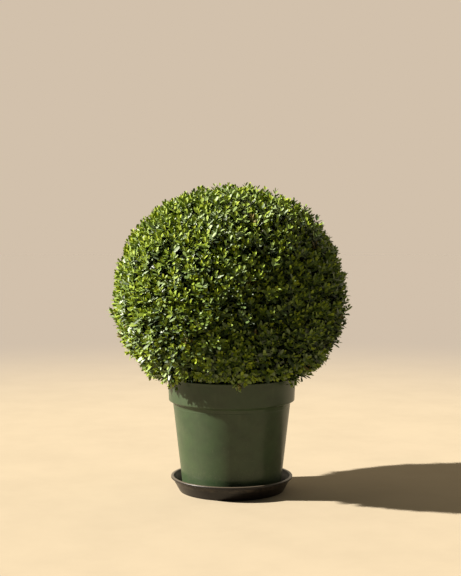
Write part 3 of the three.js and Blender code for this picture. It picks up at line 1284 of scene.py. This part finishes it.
@dataclass
class LeafBlade:
    """The box leaf: a short oval blade with a sunken midrib, rolled edges and a narrowing tip."""

    width_share: float = 0.42
    fold: float = 0.3
    roll: float = 0.14
    droop: float = 0.13
    rows: Triple = (0.2, 0.52, 0.84)
    half_widths: Triple = (0.34, 0.5, 0.36)
    tip: float = 0.975
    width_spread: Pair = (0.88, 1.12)
    fold_spread: Pair = (0.4, 1.3)
    droop_spread: Pair = (-0.6, 1.9)

    def faces(self) -> Array:
        """List the triangles of one leaf, from its foot to its tip.

        Returns:
            Their corner numbers.
        """
        faces = [(0, 2, 1), (0, 3, 2)]
        last = 1 + 3 * (len(self.rows) - 1)
        for first in range(1, last, 3):
            for corner in (first, first + 1):
                faces += [(corner, corner + 1, corner + 4), (corner, corner + 4, corner + 3)]
        return np.array([*faces, (last, last + 1, last + 3), (last + 1, last + 2, last + 3)])

    def surface(self, leaves: Placements, random: Random) -> Surface:
        """Set out a blade for each leaf.

        Args:
            leaves: the leaves.
            random: source of their small differences.

        Returns:
            One surface of triangles.
        """
        count = len(leaves.roots)
        along = np.array([0.0, *np.repeat(self.rows, 3), self.tip])
        across = np.array([0.0, *(half * side for half in self.half_widths for side in (-1, 0, 1)), 0.0])
        edge = np.abs(across) / max(self.half_widths)
        lengths = leaves.lengths[:, None]
        width = lengths * self.width_share * random.uniform(*self.width_spread, (count, 1))
        fold = self.fold * random.uniform(*self.fold_spread, (count, 1))
        droop = self.droop * random.uniform(*self.droop_spread, (count, 1))
        cup = width * 0.5 * (fold * edge - self.roll * edge**3)
        sideways = np.cross(leaves.face, leaves.along)
        points = leaves.roots[:, None]
        for distance, way in ((along * lengths, leaves.along), (across * width, sideways),
                              (cup - droop * lengths * along**2, leaves.face)):
            points = points + distance[..., None] * way[:, None]
        return Surface.repeated(points, self.faces())


def stem_sides(headings: Array, random: Random) -> tuple[Array, Array]:
    """Return two directions across each stem, on which its pairs of leaves take turns."""
    side = unit(np.cross(headings, random.normal(0, 1, headings.shape)))
    return side, np.cross(headings, side)


def squared(face: Array, along: Array) -> Array:
    """Return the way that each leaf's upper side faces, square to its length."""
    return unit(face - along * np.sum(face * along, axis=1, keepdims=True))


@dataclass
class Shoots:
    """The leafy shoots at the ball's surface, with opposite leaves that turn a quarter from pair to pair.

    The shears leave most tips near the outline, and others deeper, so that the surface is open between them.
    Shoots turn up towards the light, less so under the ball, and those over the pot's rim hang down. Pairs of
    numbers are ranges: of the angle between stem and leaf, or of the share by which gaps and leaves differ.
    """

    limbs: Limbs
    outline: Outline
    keep_out: KeepOut
    leafy_length: float = 34 * MM
    shallow_inset: float = 3 * MM
    deep_inset: float = 28 * MM
    inset_power: float = 1.3
    proud: float = 8 * MM
    proud_share: float = 0.14
    skirt_trim: float = 8.5 * MM
    skirt_from: float = -0.6
    skirt_span: float = 0.2
    rise: float = 0.95
    rise_from: float = -0.95
    rise_full: float = -0.1
    stray: float = 0.22
    hang: float = 1.5
    pair_count: int = 6
    pair_spacing: float = 5.6 * MM
    first_gap: float = 0.12
    gap_spread: Pair = (0.85, 1.1)
    opening: Pair = (22, 68)
    opening_rate: float = 1.6
    opening_stray: float = 9
    turn_stray: float = 0.12
    face_stray: float = 0.2
    leaf_length: float = 16.8 * MM
    tip_size: float = 0.58
    size_rate: float = 2.6
    size_spread: Pair = (0.84, 1.14)
    tip_taper: float = 0.7
    seed: int = 11
    tips: Array = field(init=False)
    headings: Array = field(init=False)
    feet: Array = field(init=False)
    starts: Array = field(init=False)
    directions: Array = field(init=False)

    def __post_init__(self) -> None:
        """Place each shoot's tip, heading and foot, and leave out those that would touch the pot."""
        random = np.random.default_rng(self.seed)
        directions, starts = self.limbs.directions, self.limbs.starts
        count = len(directions)
        inset = blend(self.shallow_inset, self.deep_inset, random.uniform(0, 1, count) ** self.inset_power)
        inset = inset - self.proud * (random.uniform(0, 1, count) < self.proud_share)
        skirt = np.clip((self.skirt_from - directions[:, 2]) / self.skirt_span, 0, 1)
        inset = inset + self.skirt_trim * skirt
        full = self.outline.point(directions, 1.0)
        hanging = self.keep_out.is_clear(full) & (full[:, 2] < self.keep_out.rim_level)
        inset = np.where(hanging, 0.0, inset)
        tips = self.outline.point(directions, 1.0, inset)
        tips = self.keep_out.drawn_clear(tips, self.outline.centre())
        share = np.clip((directions[:, 2:] - self.rise_from) / (self.rise_full - self.rise_from), 0, 1)
        hanging = tips[:, 2:] < self.keep_out.rim_level
        fall = directions * (1, 1, 0) - self.hang * UP
        headings = np.where(hanging, fall, directions + self.rise * share * UP)
        headings = unit(headings + random.normal(0, self.stray, (count, 3)))
        feet = tips - headings * self.leafy_length
        clear = self.keep_out.is_clear(feet) & self.keep_out.is_clear(blend(feet, starts, 0.5))
        self.tips, self.headings, self.feet = tips[clear], headings[clear], feet[clear]
        self.starts, self.directions = starts[clear], directions[clear]

    def stem_paths(self) -> Array:
        """Return the path of each shoot's stem: where it leaves its sprig, its leafy foot, and its tip."""
        middle = self.tips - self.headings * self.leafy_length * 0.5
        return np.stack([self.starts, self.feet, middle, self.tips], axis=1)

    def stem_radii(self) -> Array:
        """Return the stem's radius along that path."""
        foot, tip = self.limbs.level.foot_radius, self.limbs.level.tip_radius
        return np.tile([foot, foot, tip, tip * self.tip_taper], (len(self.tips), 1))

    def leaves(self, palette: "Palette") -> Placements:
        """Set out the leaves of every shoot.

        Args:
            palette: deals out the kinds.

        Returns:
            The leaves, outermost pair first.
        """
        random = np.random.default_rng(self.seed + 1)
        headings = self.headings
        count = len(headings)
        sides = stem_sides(headings, random)
        tints = palette.shoot_tints(self.directions)
        sets = []
        for pair in range(self.pair_count):
            share = pair / (self.pair_count - 1)
            opening = blend(*self.opening, min(1.0, share * self.opening_rate))
            full_size = blend(self.tip_size, 1.0, min(1.0, share * self.size_rate))
            back = self.pair_spacing * (pair + self.first_gap) * random.uniform(*self.gap_spread, count)
            roots = self.tips - headings * back[:, None]
            for hand in (1, -1):
                spread = np.radians(opening + random.normal(0, self.opening_stray, count))[:, None]
                outward = unit(hand * sides[pair % 2] + random.normal(0, self.turn_stray, (count, 3)))
                along = unit(headings * np.cos(spread) + outward * np.sin(spread))
                face = headings * np.sin(spread) - outward * np.cos(spread)
                face = squared(face + random.normal(0, self.face_stray, (count, 3)), along)
                lengths = self.leaf_length * (full_size * random.uniform(*self.size_spread, count))
                kinds = palette.leaf_kinds(tints, pair, random)
                sets.append(Placements(roots, along, face, lengths, kinds))
        return Placements.joined(sets)


@dataclass
class InnerSprays:
    """Old leaves on the sprigs under the surface, near-black as a painted shade, that close the view into the
    ball.
    """

    limbs: Limbs
    pair_count: int = 5
    leaf_length: float = 17.5 * MM
    from_share: float = 0.25
    turn_stray: float = 0.3
    lean: float = 0.35
    size_spread: Pair = (0.85, 1.2)
    seed: int = 23

    def leaves(self) -> Placements:
        """Set out the leaves of every sprig.

        Returns:
            The leaves, innermost pair first.
        """
        random = np.random.default_rng(self.seed)
        headings = unit(self.limbs.ends - self.limbs.starts)
        count = len(headings)
        sides = stem_sides(headings, random)
        kinds = np.full(count, list(LeafKind).index(LeafKind.INNER))
        sets = []
        for pair in range(self.pair_count):
            share = blend(self.from_share, 1.0, pair / (self.pair_count - 1))
            roots = blend(self.limbs.starts, self.limbs.ends, share)
            for hand in (1, -1):
                outward = unit(hand * sides[pair % 2] + random.normal(0, self.turn_stray, (count, 3)))
                along = unit(headings * self.lean + outward)
                lengths = self.leaf_length * random.uniform(*self.size_spread, count)
                sets.append(Placements(roots, along, squared(headings, along), lengths, kinds))
        return Placements.joined(sets)


@dataclass
class Palette:
    """The ball's greens, dealt out by shoot.

    Attributes:
        looks: colour, roughness and shine of each kind of leaf.
        rungs: how many kinds, from the newest, a shoot's leaves run through from its tip inwards.
        middle_tint: rung of a shoot that faces neither the lit side nor the shaded one.
        oldest_tint: highest rung at which a shoot begins.
        sunward: direction of the side that the key light falls on, where more shoots are young.
        flush_and_painted_sun: how many rungs younger a shoot is there, and older on the far side; partly the
            real flush of a sunlit side, partly painted sunlight and shade.
        patchiness: how many rungs soft patches differ by.
        broad_wave: how fast the patches' waves turn along X and Z, and where they start.
        cross_wave: the same along Y and Z for waves that cross those.
        fine_wave: the same along X, Y and Z for finer waves.
        fine_share: how strong the finer ones are.
        shoot_scatter: how many rungs single shoots differ by.
        leaf_scatter: how many single leaves do.
        ageing: how many rungs older each pair of leaves is than the one above it.
        first_rung: how far the first pair is from its shoot's rung.
        bronze_share: share of the shoots that are bronzed.
        bronze_range: least and most by which that grows towards the ball's foot.
        bronze_pairs: how many of their pairs are.
        seed: start of the palette's own scatter.
    """

    looks: dict[LeafKind, tuple[Triple, float, float]] = field(default_factory=lambda: {
        LeafKind.NEW: ((0.246, 0.298, 0.015), 0.64, 0.2),
        LeafKind.FRESH: ((0.212, 0.274, 0.015), 0.64, 0.22),
        LeafKind.BRIGHT: ((0.181, 0.25, 0.016), 0.62, 0.3),
        LeafKind.MID: ((0.132, 0.201, 0.017), 0.6, 0.75),
        LeafKind.FULL: ((0.08, 0.136, 0.018), 0.57, 1.15),
        LeafKind.DEEP: ((0.028, 0.056, 0.011), 0.54, 1.15),
        # Painted shade: the oldest and the inner leaves are near-black, to darken the gaps deep in the ball.
        LeafKind.OLD: ((0.005, 0.011, 0.0025), 0.6, 0.08),
        LeafKind.INNER: ((0.005, 0.008, 0.0025), 0.6, 0.08),
        LeafKind.BRONZE: ((0.13, 0.105, 0.022), 0.55, 0.4),
    })
    rungs: int = 7
    middle_tint: float = 1.95
    oldest_tint: float = 3.4
    sunward: Triple = (-0.92, 0.2, 0.34)
    flush_and_painted_sun: float = 0.75
    patchiness: float = 0.3
    broad_wave: Triple = (5.1, 2.3, 0.7)
    cross_wave: Pair = (4.3, -3.1)
    fine_wave: Triple = (7.9, 9.7, 8.3)
    fine_share: float = 0.6
    shoot_scatter: float = 0.6
    leaf_scatter: float = 0.4
    ageing: float = 0.85
    first_rung: float = -0.3
    bronze_share: float = 0.006
    bronze_range: Pair = (0.5, 3)
    bronze_pairs: int = 3
    seed: int = 31

    BRONZED = -2.0

    def patches(self, directions: Array) -> Array:
        """Work out soft patches over the ball: waves that cross, with finer ones over them.

        Args:
            directions: unit directions, one a row.

        Returns:
            The patches' height along each of them.
        """
        x, y, z = directions.T
        broad = np.sin(self.broad_wave[0] * x + self.broad_wave[1] * z + self.broad_wave[2])
        cross = np.cos(self.cross_wave[0] * y + self.cross_wave[1] * z)
        fine = np.sin(self.fine_wave[1] * y + self.fine_wave[0] * x + self.fine_wave[2] * z)
        return broad * cross + self.fine_share * fine

    def finish(self, kind: LeafKind) -> Material:
        """Make the material of a kind of leaf, and return it."""
        return LeafFinish(f"leaf_{kind.value}", *self.looks[kind]).make()

    def shoot_tints(self, directions: Array) -> Array:
        """Give each shoot its rung, in soft patches over the ball, younger and brighter on the lit side:
        partly painted light.

        Args:
            directions: unit direction of each shoot.

        Returns:
            A number for each shoot: 0 is a young shoot, 3 an old dull shoot, and BRONZED a bronzed one.
        """
        random = np.random.default_rng(self.seed)
        count = len(directions)
        # Painted light: shoots facing the key light get younger, paler greens, and those facing away get
        # older, darker ones. This paints the sunlit, backlit glow and the shade; a real shrub also flushes
        # more on its sunlit side.
        painted_sun_and_flush = self.flush_and_painted_sun * (directions @ np.array(self.sunward))
        tints = self.middle_tint - self.patchiness * self.patches(directions) - painted_sun_and_flush
        tints = np.clip(tints + random.normal(0, self.shoot_scatter, count), 0, self.oldest_tint)
        share = self.bronze_share * np.clip(1 - 2 * directions[:, 2], *self.bronze_range)
        return np.where(random.uniform(0, 1, count) < share, self.BRONZED, tints)

    def leaf_kinds(self, tints: Array, pair: int, random: Random) -> Array:
        """Give a kind to one leaf of each shoot.

        Args:
            tints: each shoot's rung.
            pair: the leaf's pair, counted from the tip.
            random: source of the scatter.

        Returns:
            The number of each leaf's kind.
        """
        rung = tints + self.ageing * pair + random.normal(0, self.leaf_scatter, len(tints)) + self.first_rung
        rung = np.clip(np.rint(rung), 0, self.rungs - 1).astype(int)
        bronze = (tints == self.BRONZED) & (pair < self.bronze_pairs)
        return np.where(bronze, list(LeafKind).index(LeafKind.BRONZE), rung)


@dataclass
class FoliageBall:
    """The clipped ball: wood, shoots and leaves grown by the rule, each kind of leaf a piece of its own."""

    outline: Outline = field(default_factory=Outline)
    growth: Growth = field(default_factory=Growth)
    keep_out: KeepOut = field(default_factory=KeepOut)
    palette: Palette = field(default_factory=Palette)
    blade: LeafBlade = field(default_factory=LeafBlade)
    wood: Wood = field(default_factory=Wood)
    seed: int = 41

    def build(self, barks: dict[str, Material]) -> list[Piece]:
        """Build the ball.

        Args:
            barks: material of old, middle and young wood.

        Returns:
            Its pieces.
        """
        levels = self.growth.grow(self.outline)
        shoots = Shoots(levels[-1], self.outline, self.keep_out)
        leaves = Placements.joined([shoots.leaves(self.palette), InnerSprays(levels[-2]).leaves()])
        for share in (0.0, 0.5, 1.0):
            leaves = leaves.kept(self.keep_out.is_clear(leaves.at(share)))
        LOG.info("leaves: %d", len(leaves.roots))
        pieces = self.wood.build(levels, shoots, barks)
        random = np.random.default_rng(self.seed)
        for number, kind in enumerate(LeafKind):
            surface = self.blade.surface(leaves.kept(leaves.kinds == number), random)
            finish = self.palette.finish(kind)
            pieces.append(make_piece(f"leaves_{kind.value}", surface, finish, ("foliage_ball",)))
        return pieces


# ---------- studio


@dataclass
class Studio:
    """The pale floor, the lights and the camera."""

    floor_radius: float = 14.0
    floor_span: float = 0.35
    floor_sides: int = 96
    floor_near: Triple = (0.346, 0.292, 0.216)
    floor_far: Triple = (0.223, 0.198, 0.177)
    grain_share: float = 0.93
    fade_from: float = 0.9
    fade_to: float = 3.2
    fill_colour: Triple = (1.0, 0.85, 0.62)
    open_colour: Triple = (0.85, 1.0, 0.95)
    fill_behind: float = 0.8
    fill_before: float = 0.074
    fill_edge: float = 0.2
    key_colour: Triple = (1.0, 0.94, 0.83)
    key_turn: float = -87.0
    key_height: float = 36.5
    key_softness: float = 1.6
    key_strength: float = 13.0
    key_distance: float = 4.0
    camera_distance: float = 2.70
    camera_height: float = 0.613
    camera_pitch: float = 3.65
    camera_side: float = -2.6 * MM
    lens: float = 78.1
    sensor_width: float = 36.0

    def build(self) -> None:
        """Set up floor, sky, key light and camera."""
        self.build_floor()
        self.build_sky()
        self.build_key()
        self.build_camera()

    def build_floor(self) -> None:
        """Lay the pale floor, which fades into the backdrop's tone away from the plant."""
        disc = turned(refine([(0.0, 0.0), (self.floor_radius, 0.0)], self.floor_span), self.floor_sides)
        material, bench, shader = new_material("pale_floor")
        place = bench.here()
        away = bench.add("VectorMath", {0: place}, operation="LENGTH").outputs["Value"]
        grain = bench.mask(place, 0.3, 0.75, scale=5, detail=8.0, roughness=0.65)
        near = bench.mix(grain, opaque(self.floor_near), opaque(self.floor_near, self.grain_share))
        tone = bench.mix(bench.ramp(away, self.fade_from, self.fade_to), near, opaque(self.floor_far))
        bench.wire(shader, {"Base Color": tone, "Roughness": 1.0, "Specular IOR Level": 0.0})
        show("floor", disc.mesh("floor", material))

    def backdrop_tone(self) -> Triple:
        """Work out the light that the far floor sends back, so that the backdrop meets it unseen.

        Returns:
            Its colour.
        """
        upright = math.sin(math.radians(self.key_height)) * self.key_strength / math.pi
        tones = zip(self.floor_far, self.key_colour, self.fill_colour, self.open_colour)
        return tuple(floor * (upright * key + (self.fill_behind * wall + self.fill_before * sky) / 2)
                     for floor, key, wall, sky in tones)

    def build_sky(self) -> None:
        """Make the surroundings: the backdrop's tone where it is seen, and a fill that comes from behind."""
        world = bpy.data.worlds.new("sky")
        world.use_nodes = True
        bench = NodeBench(world.node_tree)
        direction = bench.add("SeparateXYZ", {0: bench.add("TexCoord").outputs["Generated"]})
        before = opaque(self.open_colour, self.fill_before)
        behind = opaque(self.fill_colour, self.fill_behind)
        fill = bench.mix(bench.ramp(direction.outputs[1], -self.fill_edge, self.fill_edge), before, behind)
        lighting = world.node_tree.nodes["Background"]
        bench.wire(lighting, {"Color": fill})
        backdrop = bench.add("Background", {"Color": opaque(self.backdrop_tone()), "Strength": 1.0})
        seen = bench.add("LightPath").outputs["Is Camera Ray"]
        both = bench.add("MixShader", {0: seen, 1: lighting.outputs[0], 2: backdrop.outputs[0]})
        bench.wire(world.node_tree.nodes["World Output"], {"Surface": both.outputs[0]})
        bpy.context.scene.world = world
        bpy.context.scene.view_settings.view_transform = "Standard"

    def build_key(self) -> None:
        """Shine the warm key light from the left."""
        light = bpy.data.lights.new("key", "SUN")
        light.angle = math.radians(self.key_softness)
        light.energy = self.key_strength
        light.color = self.key_colour
        turn, height = math.radians(self.key_turn), math.radians(self.key_height)
        level = math.cos(height)
        towards = Vector((math.sin(turn) * level, -math.cos(turn) * level, math.sin(height)))
        lamp = show("key", light)
        lamp.location = towards * self.key_distance
        lamp.rotation_euler = (-towards).to_track_quat("-Z", "Y").to_euler()

    def build_camera(self) -> None:
        """Set the camera at its height and pitch in front of the plant."""
        data = bpy.data.cameras.new("camera")
        data.sensor_width = self.sensor_width
        data.lens = self.lens
        place = Matrix.Translation((self.camera_side, -self.camera_distance, self.camera_height))
        camera = show("camera", data)
        camera.matrix_world = place @ Matrix.Rotation(math.radians(90 - self.camera_pitch), 4, "X")
        bpy.context.scene.camera = camera


# ---------- assembly


def main() -> None:
    """Build the studio and dress every part of the plant."""
    logging.basicConfig(level=logging.INFO, format="%(message)s")
    Studio().build()
    skin, wear, scuffs, bark = mould_skin_group(), wear_and_lip_highlight_group(), scuff_group(), bark_group()
    pot_finish = PlasticFinish(
        "green_pot_plastic", colour=(0.0202, 0.0428, 0.0126), dust_colour=(0.33, 0.3, 0.2), roughness=0.64,
        shine=0.34, dust=0.08, bleach=0.03, peel=0.5, scuffs=0.4, foot=0.01, splash_height=0.09, rim=1.0,
        gloss=0.4)
    # The saucer's rim height starts its painted lip highlight. The pot's rim of 1.0 lies above the pot, so
    # the pot gets none.
    saucer_finish = PlasticFinish(
        "dark_saucer_plastic", colour=(0.008, 0.0055, 0.005), dust_colour=(0.3, 0.24, 0.17), roughness=0.38,
        shine=0.36, dust=0.03, bleach=0.01, peel=0.8, scuffs=0.4, foot=0.0, splash_height=0.035, rim=0.0335)
    barks = {
        "old": BarkFinish("old_bark", (0.3, 0.24, 0.16), (0.07, 0.05, 0.03), 1.0).make(bark),
        "middle": BarkFinish("twig_bark", (0.22, 0.19, 0.1), (0.08, 0.07, 0.035), 2.0).make(bark),
        "young": BarkFinish("young_bark", (0.16, 0.2, 0.06), (0.09, 0.12, 0.04), 3.0, 0.6).make(bark),
    }
    Saucer().build(saucer_finish.make(skin, wear, scuffs))
    Pot().build(pot_finish.make(skin, wear, scuffs))
    Compost().build(CompostFinish().make())
    Trunk().build(barks["old"])
    FoliageBall().build(barks)


if __name__ == "__main__":
    main()
